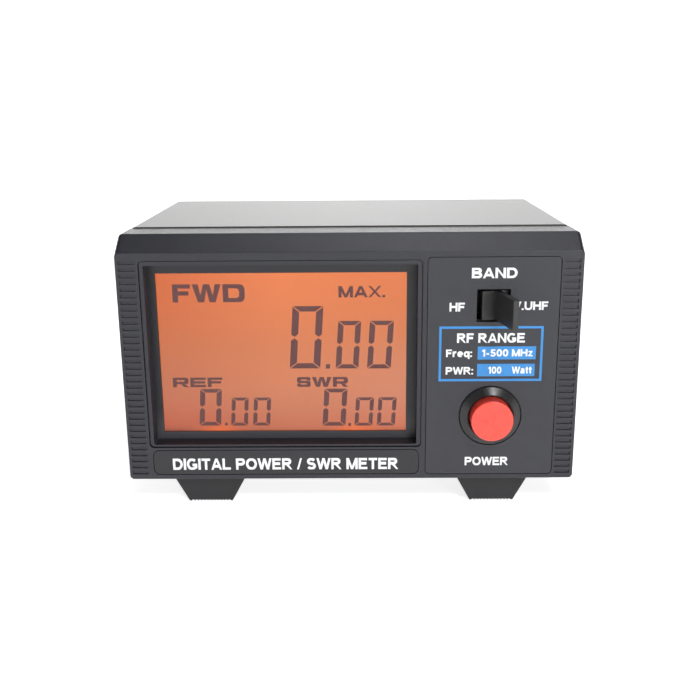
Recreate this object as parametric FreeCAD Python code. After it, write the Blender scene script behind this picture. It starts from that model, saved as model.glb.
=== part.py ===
import FreeCAD, Part
import math
import os

# Desktop SWR and power meter, in millimetres. While drawing, y = 0 is the bezel's front face, z = 0 its
# bottom edge and x = 0 its middle; save() moves every piece so that the origin lies on the table under
# the middle of the whole meter.

# Case
BEZEL_W = 155.0
BEZEL_H = 85.6
BEZEL_D = 20.8
FACE_H = 80.3            # top of the upright front face; the sloping band starts here
SLOPE_D = 7.2            # how far back the sloping band runs
WALL = 2.5
FACE_T = 3.0
COVER_W = 153.0
COVER_TOP = 86.0         # the cover's front edge stands just above the bezel
CASE_BACK = 103.0
COVER_T = 1.0
SEAM = 0.3               # gap between bezel and cover
SHEET_T = 1.2            # chassis sheet
SHEET_Z = 0.8            # underside of the chassis
CHASSIS_BACK = 102.2     # outer face of the rear panel
CHASSIS_HALF = COVER_W / 2 - COVER_T
CHASSIS_TOP = COVER_TOP - COVER_T
FOOT_H = 9.5

# Display opening and the stack behind it
OPEN_X0, OPEN_X1 = -68.3, 22.9
OPEN_Z0, OPEN_Z1 = 12.8, 75.9
RECESS_D = 6.5
BORDER_X0, BORDER_X1 = OPEN_X0 - 1.5, OPEN_X1 + 1.6
BORDER_Z0, BORDER_Z1 = OPEN_Z0 - 1.0, OPEN_Z1 + 1.7
BORDER_T = 0.5           # how far the border round the display opening is set back
BORDER_R = 1.5
BORDER_GAP = 0.3         # the fine groove round that border
BORDER_GAP_D = 1.2
COLLAR_T = 1.6
VIEW_X0, VIEW_X1 = -65.8, 19.5
VIEW_Z0, VIEW_Z1 = 15.4, 72.2
FRAME_LIP = 0.8
WINDOW_T = 0.8
LCD_T = 2.2
BOARD_Y = 14.0           # front of the display board
BOARD_T = 1.6

# Control plate, power button and band lever
PLATE_X0, PLATE_X1 = 26.15, 69.9
PLATE_Z0, PLATE_Z1 = 1.85, 78.2
PLATE_T = 1.0
PLATE_R = 1.3
PLATE_GAP = 0.25
NAME_X0, NAME_X1 = -68.6, 23.6
NAME_Z0, NAME_Z1 = 1.95, 10.75
NAME_T = 0.8
CONTROL_X = 48.05
BUTTON_Z = 23.2
CAP_R = 7.15
CAP_OUT = 6.0
RING_R = 10.5
RING_HOLE_R = 7.5
SWITCH_Z = 61.75
SWITCH_HOLE = 11.2
SWITCH_BAY_HALF_W = 8.6  # room in which the lever's hub turns
SWITCH_BAY_HALF_H = 6.2
LEVER_PIVOT_Y = 9.0
LEVER_TILT = 12.5        # degrees to the right of straight out
LEVER_TIP = 23.56        # pivot to tip
LEVER_T = 2.0
LEVER_H = 9.8
PIN_R = 1.0
PIN_CLEARANCE = 0.04

# Feet
FOOT_X = 49.8
FOOT_TOP_W = 25.6
FOOT_BOTTOM_W = 15.3
FOOT_L = 17.0
FOOT_BACK_Y = 82.0
FRONT_FOOT_Y = 3.0
FOOT_SCREW_R = 1.5
FOOT_SINK_R = 3.4        # recess for the screw's head
FOOT_SINK = 4.5

# Rear connectors (UHF series sockets) and DC inlet
SOCKET_X = (-56.0, -22.0, 22.0, 56.0)
SOCKET_Z = 46.0
FLANGE = 25.4
FLANGE_T = 3.0
THREAD_R = 7.94
THREAD_L = 12.7
SOCKET_BORE_R = 6.2
SPIGOT_R = 7.9           # part of the socket that passes through the panel
SPIGOT_L = 4.0
M3_HOLE_R = 1.5
M3_SCREW = (1.5, 2.7, 1.8)   # shank radius, head radius and head height
CONTACT_R = 2.8
CONTACT_BORE_R = 2.0
CONTACT_BORE_L = 10.0
SCREW_PITCH = 18.3
JACK_Z = 16.8
JACK_PIN_R = 1.05
JACK_BORE_R = 2.85
JACK_HALF_W, JACK_HALF_H = 4.8, 5.2
JACK_L = 13.5
JACK_BORE_L = 10.5

# Main board and coupler boxes
MAIN_Z = 10.0
STANDOFF_R = 2.9
COUPLER_Z0, COUPLER_Z1 = 29.0, 63.0
COUPLER_Y0 = 62.0
COUPLER_T = 0.6

LEVER_TIP_Y = LEVER_PIVOT_Y - LEVER_TIP * math.cos(math.radians(LEVER_TILT))
LEVER_TIP_Y -= LEVER_T / 2 * math.sin(math.radians(LEVER_TILT))
SOCKET_END_Y = CHASSIS_BACK + FLANGE_T + THREAD_L
ORIGIN = FreeCAD.Vector(0, -(LEVER_TIP_Y + SOCKET_END_Y) / 2, FOOT_H)

X_AXIS = FreeCAD.Vector(1, 0, 0)
Y_AXIS = FreeCAD.Vector(0, 1, 0)
Z_AXIS = FreeCAD.Vector(0, 0, 1)


def save(name, *solids):
    shape = solids[0] if len(solids) == 1 else Part.makeCompound(list(solids))
    shape = shape.copy()
    shape.translate(ORIGIN)
    os.makedirs("parts", exist_ok=True)
    shape.exportStep("parts/" + name + ".step")
    box_size = shape.BoundBox
    print("%-24s solids %2d volume %9.1f  y %.1f..%.1f z %.1f..%.1f" % (
        name, len(shape.Solids), shape.Volume, box_size.YMin, box_size.YMax, box_size.ZMin, box_size.ZMax))


def box(x0, x1, y0, y1, z0, z1):
    return Part.makeBox(x1 - x0, y1 - y0, z1 - z0, FreeCAD.Vector(x0, y0, z0))


def block(x, y, z, dx, dy, dz):
    return box(x - dx / 2, x + dx / 2, y - dy / 2, y + dy / 2, z - dz / 2, z + dz / 2)


def rod_y(x, z, radius, y0, y1):
    return Part.makeCylinder(radius, y1 - y0, FreeCAD.Vector(x, y0, z), Y_AXIS)


def rod_z(x, y, radius, z0, z1):
    return Part.makeCylinder(radius, z1 - z0, FreeCAD.Vector(x, y, z0), Z_AXIS)


def rod_x(y, z, radius, x0, x1):
    return Part.makeCylinder(radius, x1 - x0, FreeCAD.Vector(x0, y, z), X_AXIS)


def prism(points, direction):
    wire = Part.makePolygon([FreeCAD.Vector(*p) for p in points + points[:1]])
    return Part.Face(wire).extrude(direction)


def along(edge, axis):
    """True for a straight edge that runs along the axis."""
    if edge.Curve.TypeId != "Part::GeomLine":
        return False
    first, last = edge.Vertexes[0].Point, edge.Vertexes[-1].Point
    return (last - first).normalize().cross(axis).Length < 1e-6


def slab(x0, x1, z0, z1, y0, y1, radius):
    """An upright rounded rectangle with its thickness along y."""
    body = box(x0, x1, y0, y1, z0, z1)
    return body.makeFillet(radius, [e for e in body.Edges if along(e, Y_AXIS)])


def pan_screw(x, y, z, direction, shank_r, shank_l, head_r, head_h):
    """A pan-head screw whose head's underside is at the point; direction runs along the shank."""
    centre = FreeCAD.Vector(x, y, z)
    shank = Part.makeCylinder(shank_r, shank_l, centre, direction)
    head = Part.makeCylinder(head_r, head_h, centre, -direction)
    top = centre - direction * head_h
    rim = [e for e in head.Edges if e.Closed and (e.BoundBox.Center - top).Length < 1e-3]
    head = head.makeFillet(head_h * 0.45, rim)
    cross = head_r * 0.5
    slots = [Part.makeBox(2 * cross, 0.6, head_h * 0.5), Part.makeBox(0.6, 2 * cross, head_h * 0.5)]
    slots[0].translate(FreeCAD.Vector(-cross, -0.3, 0))
    slots[1].translate(FreeCAD.Vector(-0.3, -cross, 0))
    turn = FreeCAD.Rotation(Z_AXIS, direction)
    for slot in slots:
        slot.Placement = FreeCAD.Placement(top, turn).multiply(slot.Placement)
        head = head.cut(slot)
    return head.fuse(shank).removeSplitter()


def screw_m3(x, y, z, direction, shank_l):
    shank_r, head_r, head_h = M3_SCREW
    return pan_screw(x, y, z, direction, shank_r, shank_l, head_r, head_h)


# ---- Front bezel -----------------------------------------------------------------------------------

def bezel_outline(inset_face, inset_top, inset_bottom, back):
    return [
        (inset_face, inset_bottom),
        (inset_face, FACE_H - inset_top * 0.6),
        (SLOPE_D + inset_face * 0.4, BEZEL_H - inset_top),
        (back, BEZEL_H - inset_top),
        (back, inset_bottom),
    ]


def bezel_prism(half, inset_face, inset_top, inset_bottom, back):
    points = [(-half, y, z) for y, z in bezel_outline(inset_face, inset_top, inset_bottom, back)]
    return prism(points, X_AXIS * (2 * half))


BOSS_R = 2.9
BEZEL_BOSSES = [(x, z) for x in (-71.6, 71.6) for z in (6.2, 80.3)]
BOARD_BOSSES = [(x, z) for x in (-60.0, 15.0, 63.0) for z in (6.8, 80.0)]
BOARD_BOSS_R = 2.5
BEZEL_SCREW_R = 1.25
BOARD_SCREW_R = 1.0
RIB_PITCH = 2.255
RIB_COUNT = 34
RIB_TOP = 77.6
RIB_H = 1.2
RIB_DEPTH = 0.5
RIB_OUT, RIB_IN = 76.3, 70.7


def bezel_body():
    half = BEZEL_W / 2
    body = bezel_prism(half, 0.0, 0.0, 0.0, BEZEL_D)
    long_edges = [e for e in body.Edges if along(e, Y_AXIS)]
    slope_sides = [
        e for e in body.Edges
        if not along(e, Y_AXIS) and not along(e, X_AXIS) and not along(e, Z_AXIS)
    ]
    body = body.makeFillet(1.5, long_edges + slope_sides)
    front = [e for e in body.Edges if e.BoundBox.YMax < 1e-6]
    body = body.makeFillet(0.5, front)
    rim = [e for e in body.Edges if along(e, X_AXIS) and abs(e.BoundBox.YMin - SLOPE_D) < 0.01]
    body = body.makeFillet(0.8, rim)
    hollow = bezel_prism(half - WALL, FACE_T, WALL, WALL, BEZEL_D + 1)
    return body.cut(hollow)


def bezel_bosses():
    solids = []
    for x, z in BEZEL_BOSSES:
        solids.append(rod_y(x, z, BOSS_R, FACE_T - 0.5, BEZEL_D))
    for x, z in BOARD_BOSSES:
        solids.append(rod_y(x, z, BOARD_BOSS_R, FACE_T - 0.5, BOARD_Y))
    return solids


def rib_groove(side, top):
    outer, inner = side * RIB_OUT, side * (RIB_IN + RIB_H / 2)
    middle = top - RIB_H / 2
    straight = box(min(outer, inner), max(outer, inner), -1, RIB_DEPTH, top - RIB_H, top)
    return straight.fuse(rod_y(inner, middle, RIB_H / 2, -1, RIB_DEPTH))


def border_groove():
    outer = slab(BORDER_X0, BORDER_X1, BORDER_Z0, BORDER_Z1, -1, BORDER_GAP_D, BORDER_R)
    return outer.cut(slab(BORDER_X0 + BORDER_GAP, BORDER_X1 - BORDER_GAP, BORDER_Z0 + BORDER_GAP,
                          BORDER_Z1 - BORDER_GAP, -2, FACE_T, BORDER_R - BORDER_GAP))


def make_front_bezel():
    body = bezel_body()
    collar = box(OPEN_X0 - COLLAR_T, OPEN_X1 + COLLAR_T, FACE_T - 0.5, RECESS_D,
                 OPEN_Z0 - COLLAR_T, OPEN_Z1 + COLLAR_T)
    body = body.fuse([collar] + bezel_bosses())
    body = body.common(bezel_prism(BEZEL_W / 2, 0, 0, 0, BEZEL_D))
    grooves = [
        rib_groove(side, RIB_TOP - i * RIB_PITCH)
        for side in (-1, 1) for i in range(RIB_COUNT)
    ]
    cuts = [
        slab(OPEN_X0, OPEN_X1, OPEN_Z0, OPEN_Z1, -1, RECESS_D + 1, 0.6),
        slab(BORDER_X0, BORDER_X1, BORDER_Z0, BORDER_Z1, -1, BORDER_T, BORDER_R),
        border_groove(),
        slab(PLATE_X0 - PLATE_GAP, PLATE_X1 + PLATE_GAP, PLATE_Z0 - PLATE_GAP, PLATE_Z1 + PLATE_GAP,
             -1, PLATE_T, PLATE_R + PLATE_GAP),
        slab(NAME_X0 - PLATE_GAP, NAME_X1 + PLATE_GAP, NAME_Z0 - PLATE_GAP, NAME_Z1 + PLATE_GAP,
             -1, NAME_T, 2.0 + PLATE_GAP),
        rod_y(CONTROL_X, BUTTON_Z, RING_R - 1.4, 0, FACE_T + 1),
        box(CONTROL_X - SWITCH_BAY_HALF_W, CONTROL_X + SWITCH_BAY_HALF_W, 0, FACE_T + 1,
            SWITCH_Z - SWITCH_BAY_HALF_H, SWITCH_Z + SWITCH_BAY_HALF_H),
    ]
    for x, z in BEZEL_BOSSES:
        cuts.append(rod_y(x, z, BEZEL_SCREW_R, BEZEL_D - 10, BEZEL_D + 1))
    for x, z in BOARD_BOSSES:
        cuts.append(rod_y(x, z, BOARD_SCREW_R, BOARD_Y - 7, BOARD_Y + 1))
    for x in (-FOOT_X, FOOT_X):
        cuts.append(rod_z(x, FRONT_FOOT_Y + FOOT_L / 2, FOOT_SCREW_R, -1, WALL + 1))
    body = body.cut(cuts + grooves)
    save("front_bezel", body)


def make_plates():
    plate = slab(PLATE_X0, PLATE_X1, PLATE_Z0, PLATE_Z1, 0, PLATE_T, PLATE_R)
    hole = block(CONTROL_X, 0, SWITCH_Z + 0.15, SWITCH_HOLE, 4 * PLATE_T, SWITCH_HOLE)
    save("control_plate", plate.cut([hole, rod_y(CONTROL_X, BUTTON_Z, RING_R + 0.3, -1, 3)]))
    save("name_plate", slab(NAME_X0, NAME_X1, NAME_Z0, NAME_Z1, 0, NAME_T, 2.0))


# ---- Display ---------------------------------------------------------------------------------------

FRAME_X0, FRAME_X1 = OPEN_X0 - 1.5, OPEN_X1 + 1.5
FRAME_Z0, FRAME_Z1 = OPEN_Z0 - 1.5, OPEN_Z1 + 1.4
POCKET_X0, POCKET_X1 = FRAME_X0 + 1.6, FRAME_X1 - 1.6
POCKET_Z0, POCKET_Z1 = FRAME_Z0 + 1.6, FRAME_Z1 - 1.6
WINDOW_Y = RECESS_D + FRAME_LIP
LCD_Y = WINDOW_Y + WINDOW_T
GUIDE_Y = LCD_Y + LCD_T
GUIDE_X0, GUIDE_X1 = VIEW_X0 - 0.9, VIEW_X1 + 0.9
GUIDE_Z0, GUIDE_Z1 = 15.9, 72.0
GUIDE_T = 2.7
ZEBRA_T = 1.6
LED_X = (-42.0, 0.0)
LED_W, LED_H = 3.5, 0.9


def make_display():
    frame = box(FRAME_X0, FRAME_X1, RECESS_D, BOARD_Y, FRAME_Z0, FRAME_Z1)
    pocket = box(POCKET_X0, POCKET_X1, WINDOW_Y, BOARD_Y + 1, POCKET_Z0, POCKET_Z1)
    view = box(VIEW_X0, VIEW_X1, 0, BOARD_Y, VIEW_Z0, VIEW_Z1)
    save("lcd_frame", frame.cut([pocket, view]))
    save("lcd_window", box(POCKET_X0, POCKET_X1, WINDOW_Y, LCD_Y, POCKET_Z0, POCKET_Z1))
    inset = 0.2
    front_glass = box(POCKET_X0 + inset, POCKET_X1 - inset, LCD_Y, LCD_Y + LCD_T / 2,
                      POCKET_Z0 + inset, POCKET_Z1 - inset)
    ledge = inset + ZEBRA_T + 0.3
    rear_glass = box(POCKET_X0 + inset, POCKET_X1 - inset, LCD_Y + LCD_T / 2, GUIDE_Y,
                     POCKET_Z0 + ledge, POCKET_Z1 - ledge)
    save("lcd_glass", front_glass.fuse(rear_glass))
    save("lcd_backlight", box(GUIDE_X0, GUIDE_X1, GUIDE_Y, GUIDE_Y + GUIDE_T, GUIDE_Z0, GUIDE_Z1))
    strips = [
        box(-61.0, 15.0, LCD_Y + LCD_T / 2, BOARD_Y, z, z + ZEBRA_T)
        for z in (POCKET_Z0 + inset, POCKET_Z1 - inset - ZEBRA_T)
    ]
    save("zebra_strips", *strips)
    leds = [
        box(x - LED_W / 2, x + LED_W / 2, BOARD_Y - 2.2, BOARD_Y, z, z + LED_H)
        for x in LED_X for z in (GUIDE_Z0 - LED_H - 0.1, GUIDE_Z1 + 0.1)
    ]
    save("backlight_leds", *leds)


def terminals(x_offsets, z_offsets, z):
    """Solder pins that run from a switch's back through the display board."""
    return [
        box(CONTROL_X + dx - 0.3, CONTROL_X + dx + 0.3, BOARD_Y, BOARD_Y + 3.2, z + dz - 0.4, z + dz + 0.4)
        for dx in x_offsets for dz in z_offsets
    ]


DISPLAY_HEADER = (36.0, 33.0)
DISPLAY_BOARD_HALF_W = 68.4
DISPLAY_BOARD_Z0, DISPLAY_BOARD_Z1 = 4.0, 82.6



def make_display_board():
    pins = terminals((-2.5, 2.5), (-2.0, 0.0, 2.0), BUTTON_Z)
    pins += terminals((-5.0, 0.0, 5.0), (-4.0, 4.0), SWITCH_Z)
    board = box(-DISPLAY_BOARD_HALF_W, DISPLAY_BOARD_HALF_W, BOARD_Y, BOARD_Y + BOARD_T,
                DISPLAY_BOARD_Z0, DISPLAY_BOARD_Z1)
    holes = [rod_y(x, z, 1.2, BOARD_Y - 1, BOARD_Y + 3) for x, z in BOARD_BOSSES]
    save("display_board", board.cut(holes + pins))
    save("switch_terminals", *pins)
    back = BOARD_Y + BOARD_T
    save("display_driver", block(-22.0, back + 0.8, 44.0, 14.0, 1.6, 14.0))
    screws = [pan_screw(x, back, z, -Y_AXIS, BOARD_SCREW_R, 6.0, 1.9, 1.3) for x, z in BOARD_BOSSES]
    save("display_board_screws", *screws)


# ---- Power button ----------------------------------------------------------------------------------

def ring_profile():
    """Half section of the collar ring: radius from the button's axis against depth."""
    return [
        (RING_HOLE_R, -1.6), (RING_HOLE_R + 0.5, -1.8), (RING_R - 0.2, -0.3), (RING_R, 0.0),
        (RING_R, PLATE_T), (RING_R - 1.5, PLATE_T), (RING_R - 1.5, FACE_T), (RING_HOLE_R, FACE_T),
    ]


def turned(points, x, z):
    """Turn a half section of (radius, y) points about an axis along y through (x, z)."""
    wire = Part.makePolygon([FreeCAD.Vector(x + r, y, z) for r, y in points + points[:1]])
    return Part.Face(wire).revolve(FreeCAD.Vector(x, 0, z), Y_AXIS, 360)


SWITCH_SIDE = 7.0
PLUNGER = 2.6
SWITCH_FRONT_Y = 6.6
PLUNGER_BACK_Y = 9.6
SPRING_R = 0.9
SPRING_WIRE_R = 0.12
SPRING_TURNS = 5


def make_power_switch():
    save("button_collar", turned(ring_profile(), CONTROL_X, BUTTON_Z))
    cap = rod_y(CONTROL_X, BUTTON_Z, CAP_R, -CAP_OUT, 3.4)
    rim = [e for e in cap.Edges if e.Closed and e.BoundBox.YMax < 0]
    cap = cap.makeFillet(0.45, rim)
    cap = cap.cut(rod_y(CONTROL_X, BUTTON_Z, CAP_R - 1.4, -CAP_OUT + 2.0, 4.0))
    cap = cap.fuse(rod_y(CONTROL_X, BUTTON_Z, 3.0, -CAP_OUT + 1.0, 3.4))
    cap = cap.cut(block(CONTROL_X, 1.7, BUTTON_Z, PLUNGER, 8.0, PLUNGER))
    save("power_button_cap", cap.removeSplitter())
    plunger = block(CONTROL_X, (PLUNGER_BACK_Y - 2.3) / 2, BUTTON_Z, PLUNGER, PLUNGER_BACK_Y + 2.3, PLUNGER)
    save("power_switch_plunger", plunger)
    back = BOARD_Y
    switch = block(CONTROL_X, (SWITCH_FRONT_Y + back) / 2, BUTTON_Z,
                   SWITCH_SIDE, back - SWITCH_FRONT_Y, SWITCH_SIDE)
    bore = block(CONTROL_X, (SWITCH_FRONT_Y + back) / 2 - 1.0, BUTTON_Z,
                 PLUNGER + 0.16, back - SWITCH_FRONT_Y + 0.001, PLUNGER + 0.16)
    save("power_switch_body", switch.cut(bore))
    length = back - 1.0 - PLUNGER_BACK_Y - 2 * SPRING_WIRE_R
    path = Part.makeHelix(length / SPRING_TURNS, length, SPRING_R)
    # The wire is eight-sided, because a mesh follows that exactly at this size.
    corners = [math.radians(45 * i) for i in range(8)]
    section = Part.makePolygon([
        FreeCAD.Vector(SPRING_R + SPRING_WIRE_R * math.cos(a), 0, SPRING_WIRE_R * math.sin(a))
        for a in corners + corners[:1]])
    coil = Part.Wire(path).makePipeShell([section], True, True)
    coil.rotate(FreeCAD.Vector(0, 0, 0), X_AXIS, -90)
    coil.translate(FreeCAD.Vector(CONTROL_X, PLUNGER_BACK_Y + SPRING_WIRE_R, BUTTON_Z))
    save("power_switch_spring", coil)


# ---- Band lever ------------------------------------------------------------------------------------

HUB_FACE = 7.6           # pivot to the hub's flat front
HUB_HALF = 5.5
BAND_BODY_W = 20.0
BAND_BODY_H = 14.0


def make_band_switch():
    hub_points = [
        (-HUB_HALF, -HUB_FACE), (HUB_HALF, -HUB_FACE), (HUB_HALF, -HUB_FACE + 2.0), (2.4, 2.0),
        (-2.4, 2.0), (-HUB_HALF, -HUB_FACE + 2.0),
    ]
    z0 = SWITCH_Z - LEVER_H / 2
    hub = prism([(x, y, z0) for x, y in hub_points], Z_AXIS * LEVER_H)
    hub = hub.makeFillet(0.5, [
        e for e in hub.Edges if along(e, Z_AXIS) and abs(e.BoundBox.YMin + HUB_FACE) < 1e-6])
    paddle = box(-LEVER_T / 2, LEVER_T / 2, -LEVER_TIP, -HUB_FACE + 1, z0, z0 + LEVER_H)
    paddle = paddle.makeFillet(0.3, [e for e in paddle.Edges if e.BoundBox.YMax < -LEVER_TIP + 1e-6])
    lever = hub.fuse(paddle).removeSplitter()
    lever = lever.cut(rod_z(0, 0, PIN_R + PIN_CLEARANCE, z0 - 1, z0 + LEVER_H + 1))
    lever.rotate(FreeCAD.Vector(0, 0, 0), Z_AXIS, LEVER_TILT)
    lever.translate(FreeCAD.Vector(CONTROL_X, LEVER_PIVOT_Y, 0))
    save("band_lever", lever)

    half_h = BAND_BODY_H / 2
    save("band_lever_pin", rod_z(CONTROL_X, LEVER_PIVOT_Y, PIN_R, SWITCH_Z - half_h, SWITCH_Z + half_h))
    body = box(CONTROL_X - BAND_BODY_W / 2, CONTROL_X + BAND_BODY_W / 2, FACE_T + 0.1, BOARD_Y,
               SWITCH_Z - half_h, SWITCH_Z + half_h)
    cavity = box(CONTROL_X - SWITCH_BAY_HALF_W, CONTROL_X + SWITCH_BAY_HALF_W, 0, BOARD_Y - 1.2,
                 SWITCH_Z - LEVER_H / 2 - 0.3, SWITCH_Z + LEVER_H / 2 + 0.3)
    pivot = rod_z(CONTROL_X, LEVER_PIVOT_Y, PIN_R, SWITCH_Z - half_h - 1, SWITCH_Z + half_h + 1)
    save("band_switch_body", body.cut([cavity, pivot]))


# ---- Chassis, cover and feet -----------------------------------------------------------------------

COVER_SCREWS = [(34.0, 7.2), (90.0, 7.2)]
COVER_SCREW_R = 1.25
FEET = {
    "foot_front_left": (-FOOT_X, FRONT_FOOT_Y), "foot_front_right": (FOOT_X, FRONT_FOOT_Y),
    "foot_rear_left": (-FOOT_X, FOOT_BACK_Y), "foot_rear_right": (FOOT_X, FOOT_BACK_Y),
}
STANDOFFS = [(x, y) for x in (-56.0, 56.0) for y in (31.0, 74.0)]


def make_chassis():
    half, back = CHASSIS_HALF, CHASSIS_BACK
    front = BEZEL_D
    sheet = box(-half, half, front, back, SHEET_Z, SHEET_Z + SHEET_T)
    front_panel = box(-half, half, front, front + SHEET_T, SHEET_Z, CHASSIS_TOP - 0.8)
    rear_panel = box(-half, half, back - SHEET_T, back, SHEET_Z, CHASSIS_TOP)
    rear_panel = rear_panel.makeFillet(1.0, [
        e for e in rear_panel.Edges if along(e, Y_AXIS) and e.BoundBox.ZMin > CHASSIS_TOP - 0.1])
    flanges = [
        box(min(s * half, s * (half - SHEET_T)), max(s * half, s * (half - SHEET_T)),
            front + SHEET_T, back - SHEET_T, SHEET_Z, SHEET_Z + 12.0)
        for s in (-1, 1)
    ]
    body = sheet.fuse([front_panel, rear_panel] + flanges).removeSplitter()
    cuts = [box(-58.0, 60.0, front - 1, front + 2, 12.0, 73.0)]
    for x, z in BEZEL_BOSSES:
        cuts.append(rod_y(x, z, 1.7, front - 1, front + 2))
    for x in SOCKET_X:
        cuts.append(rod_y(x, SOCKET_Z, 8.2, back - 3, back + 1))
        for dx, dz in corner_offsets(SCREW_PITCH / 2):
            cuts.append(rod_y(x + dx, SOCKET_Z + dz, M3_HOLE_R, back - 3, back + 1))
    cuts.append(box(-JACK_HALF_W - 0.2, JACK_HALF_W + 0.2, back - 3, back + 1,
                    JACK_Z - JACK_HALF_H - 0.2, JACK_Z + JACK_HALF_H + 0.2))
    for s in (-1, 1):
        for y, z in COVER_SCREWS:
            cuts.append(rod_x(y, z, COVER_SCREW_R, min(s * 70, s * 80), max(s * 70, s * 80)))
    for x, y in STANDOFFS:
        cuts.append(rod_z(x, y, M3_HOLE_R, 0, 3))
    for x, y in (FEET["foot_rear_left"], FEET["foot_rear_right"]):
        cuts.append(rod_z(x, y + FOOT_L / 2, FOOT_SCREW_R, 0, 3))
    save("chassis", body.cut(cuts))


def corner_offsets(half):
    return [(sx * half, sz * half) for sx in (-1, 1) for sz in (-1, 1)]


def make_cover():
    half = COVER_W / 2
    front = BEZEL_D + SEAM
    outer = box(-half, half, front, CASE_BACK, SHEET_Z, COVER_TOP)
    outer = outer.makeFillet(1.6, [
        e for e in outer.Edges if along(e, Y_AXIS) and e.BoundBox.ZMin > COVER_TOP - 0.1])
    inner = box(-half + COVER_T, half - COVER_T, front - 1, CASE_BACK + 1, SHEET_Z - 1, COVER_TOP - COVER_T)
    inner = inner.makeFillet(0.6, [
        e for e in inner.Edges if along(e, Y_AXIS) and e.BoundBox.ZMin > COVER_TOP - COVER_T - 0.1])
    cover = outer.cut(inner)
    screws = []
    for s in (-1, 1):
        for y, z in COVER_SCREWS:
            cover = cover.cut(rod_x(y, z, 1.6, min(s * 70, s * 80), max(s * 70, s * 80)))
            screws.append(pan_screw(s * half, y, z, X_AXIS * -s, COVER_SCREW_R, 6.0, 2.8, 1.0))
    save("top_cover", cover)
    save("cover_screws", *screws)


FOOT_TEETH = 13
TOOTH_R = 0.42


def foot(x, y, top):
    """A tapered foot with its front face at y; front-to-back grooves serrate its tread."""
    half_top, half_bottom = FOOT_TOP_W / 2, FOOT_BOTTOM_W / 2
    points = [(x - half_top, y, top), (x - half_bottom, y, -FOOT_H),
              (x + half_bottom, y, -FOOT_H), (x + half_top, y, top)]
    body = prism(points, Y_AXIS * FOOT_L)
    pitch = FOOT_BOTTOM_W / FOOT_TEETH
    cuts = [
        rod_y(x + (i - (FOOT_TEETH - 2) / 2) * pitch, -FOOT_H, TOOTH_R, y - 1, y + FOOT_L + 1)
        for i in range(FOOT_TEETH - 1)
    ]
    middle = y + FOOT_L / 2
    cuts.append(rod_z(x, middle, FOOT_SINK_R, -FOOT_H - 1, -FOOT_H + FOOT_SINK))
    cuts.append(rod_z(x, middle, FOOT_SCREW_R, -FOOT_H, top + 1))
    return body.cut(cuts)


def make_feet():
    screws = []
    for name, (x, y) in FEET.items():
        top = 0.0 if y < BEZEL_D else SHEET_Z
        save(name, foot(x, y, top))
        screws.append(screw_m3(x, y + FOOT_L / 2, -FOOT_H + FOOT_SINK, Z_AXIS, 8.5))
    save("foot_screws", *screws)


def make_bezel_screws():
    y = BEZEL_D + SHEET_T
    screws = [pan_screw(x, y, z, -Y_AXIS, BEZEL_SCREW_R, 9.0, 2.4, 1.6) for x, z in BEZEL_BOSSES]
    save("bezel_screws", *screws)


# ---- Rear sockets and DC inlet ---------------------------------------------------------------------

CONTACT_FRONT = 4.6      # how far the contact lies inside the socket's mouth
INSULATOR_FRONT = 6.4
SOLDER_CUP_R = 1.7
SOLDER_Y = CHASSIS_BACK - 11.0


def make_socket(number, x):
    panel = CHASSIS_BACK
    flange_front = panel + FLANGE_T
    mouth = flange_front + THREAD_L
    half = FLANGE / 2
    flange = slab(x - half, x + half, SOCKET_Z - half, SOCKET_Z + half, panel, flange_front, 1.6)
    barrel = rod_y(x, SOCKET_Z, THREAD_R, flange_front - 1, mouth)
    lip = [e for e in barrel.Edges if e.Closed and e.BoundBox.YMin > mouth - 0.01]
    barrel = barrel.makeChamfer(0.5, lip)
    spigot = rod_y(x, SOCKET_Z, SPIGOT_R, panel - SPIGOT_L, panel + 1)
    shell = flange.fuse([barrel, spigot]).removeSplitter()
    cuts = [rod_y(x, SOCKET_Z, SOCKET_BORE_R, panel - 5, mouth + 1)]
    for dx, dz in corner_offsets(SCREW_PITCH / 2):
        cuts.append(rod_y(x + dx, SOCKET_Z + dz, M3_HOLE_R, panel - 1, flange_front + 1))
    save("socket_%d_shell" % number, shell.cut(cuts))

    insulator = rod_y(x, SOCKET_Z, SOCKET_BORE_R, panel - SPIGOT_L, mouth - INSULATOR_FRONT)
    contact_y1 = mouth - CONTACT_FRONT
    insulator = insulator.cut(rod_y(x, SOCKET_Z, CONTACT_R, panel - 5.0, mouth))
    save("socket_%d_insulator" % number, insulator)
    contact = rod_y(x, SOCKET_Z, CONTACT_R, panel - SPIGOT_L, contact_y1)
    contact = contact.fuse(rod_y(x, SOCKET_Z, SOLDER_CUP_R, SOLDER_Y, panel - SPIGOT_L))
    contact = contact.cut(rod_y(x, SOCKET_Z, CONTACT_BORE_R, contact_y1 - CONTACT_BORE_L, contact_y1 + 1))
    save("socket_%d_contact" % number, contact.removeSplitter())


def make_sockets():
    screws = []
    front = CHASSIS_BACK + FLANGE_T
    for number, x in enumerate(SOCKET_X, start=1):
        make_socket(number, x)
        for dx, dz in corner_offsets(SCREW_PITCH / 2):
            screws.append(screw_m3(x + dx, front, SOCKET_Z + dz, -Y_AXIS, 5.5))
    save("socket_screws", *screws)


def make_dc_jack():
    face = CHASSIS_BACK + 0.4
    body = box(-JACK_HALF_W, JACK_HALF_W, face - JACK_L, face, JACK_Z - JACK_HALF_H, JACK_Z + JACK_HALF_H)
    body = body.cut(rod_y(0, JACK_Z, JACK_BORE_R, face - JACK_BORE_L, face + 1))
    save("dc_jack_body", body)
    pin = rod_y(0, JACK_Z, JACK_PIN_R, face - JACK_BORE_L, face - 1.0)
    save("dc_jack_pin", pin.makeFillet(0.5, [
        e for e in pin.Edges if e.Closed and e.BoundBox.YMin > face - 1.1]))


# ---- Main board ------------------------------------------------------------------------------------

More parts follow.
